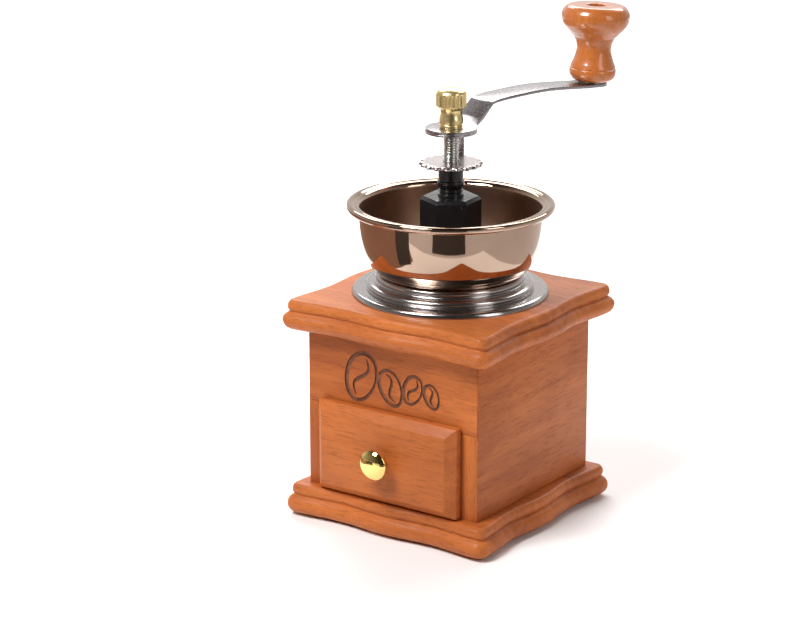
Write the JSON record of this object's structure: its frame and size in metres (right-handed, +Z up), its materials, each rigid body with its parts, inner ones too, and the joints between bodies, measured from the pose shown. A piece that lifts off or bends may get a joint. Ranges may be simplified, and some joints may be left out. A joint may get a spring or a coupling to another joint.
{
  "type": "hand-cranked burr coffee grinder",
  "caption": "Table-top coffee mill: wooden box with a drawer, open steel bowl, conical burrs and a crank with a turned wooden handle.",
  "frame": {"origin": "the centre of the face the grinder stands on, on the axis of the shaft", "axes": "+Z up along the shaft; the drawer opens towards -Y; +X is to the right when facing the drawer"},
  "size_m": [0.0966, 0.1414, 0.1943],
  "materials": {
    "pad_rubber": "thin matt non-slip pad",
    "stained_wood": "beech stained warm red-brown, satin lacquer",
    "plain_wood": "unstained beech",
    "handle_wood": "turned beech, stained orange-brown, gloss lacquer",
    "bowl_chrome": "spun steel, mirror polished",
    "disc_zinc": "bright zinc-plated pressing",
    "crank_steel": "polished steel strip",
    "shaft_steel": "turned steel",
    "zinc_screw": "zinc-plated",
    "nut_brass": "turned and knurled brass, polished",
    "knob_brass": "polished gold-coloured brass",
    "hub_plastic": "black moulded plastic, glossy",
    "burr_iron": "cast, teeth machined"
  },
  "bodies": {
    "box": {"base_pad": "pad_rubber", "base_plate": "stained_wood", "base_screw_1": "zinc_screw", "base_screw_2": "zinc_screw", "base_screw_3": "zinc_screw", "base_screw_4": "zinc_screw", "left_panel": "stained_wood", "right_panel": "stained_wood", "back_panel": "stained_wood", "front_rail": "stained_wood", "front_left_stile": "stained_wood", "front_right_stile": "stained_wood", "top_plate": "stained_wood", "lid_dowel_1": "plain_wood", "lid_dowel_2": "plain_wood", "lid_dowel_3": "plain_wood", "lid_dowel_4": "plain_wood", "hopper_base_ring": "bowl_chrome", "hopper_bowl": "bowl_chrome", "bearing_hub": "hub_plastic", "hub_screw_1": "zinc_screw", "hub_screw_2": "zinc_screw", "hub_screw_3": "zinc_screw", "bearing_sleeve": "hub_plastic", "ring_burr": "burr_iron", "burr_screw_1": "zinc_screw", "burr_screw_2": "zinc_screw", "burr_screw_3": "zinc_screw"},
    "adjuster": {"adjusting_disc": "disc_zinc", "thrust_washer": "crank_steel", "spring": "shaft_steel"},
    "spindle": {"shaft": "shaft_steel", "inner_burr": "burr_iron", "burr_nut": "shaft_steel", "spring_washer": "shaft_steel", "lock_plate": "crank_steel", "crank_arm": "crank_steel", "handle_bolt": "crank_steel", "handle_washer": "crank_steel"},
    "handle": {"handle_knob": "handle_wood"},
    "nut": {"thumb_nut": "nut_brass"},
    "drawer": {"drawer_front": "stained_wood", "drawer_left_side": "plain_wood", "drawer_right_side": "plain_wood", "drawer_back": "plain_wood", "drawer_bottom": "plain_wood", "drawer_knob": "knob_brass", "drawer_knob_screw": "zinc_screw"}
  },
  "joints": [
    {"name": "crank_spin", "type": "hinge", "parent": "box", "child": "adjuster", "pos_m": [0, 0, 0.14], "axis": [0, 0, 1], "continuous": true},
    {"name": "grind_adjust", "type": "slide", "parent": "adjuster", "child": "spindle", "axis": [0, 0, 1], "range_m": [-0.001, 0], "deforming": ["spring"]},
    {"name": "handle_spin", "type": "hinge", "parent": "spindle", "child": "handle", "pos_m": [0.01978, 0.07131, 0.1628], "axis": [0.014, 0.0504, 0.9986], "continuous": true},
    {"name": "thumb_nut_turn", "type": "hinge", "parent": "spindle", "child": "nut", "pos_m": [0, 0, 0.1549], "axis": [0, 0, 1], "continuous": true},
    {"name": "drawer_slide", "type": "slide", "parent": "box", "child": "drawer", "axis": [0, -1, 0], "range_m": [0, 0.055]}
  ]
}
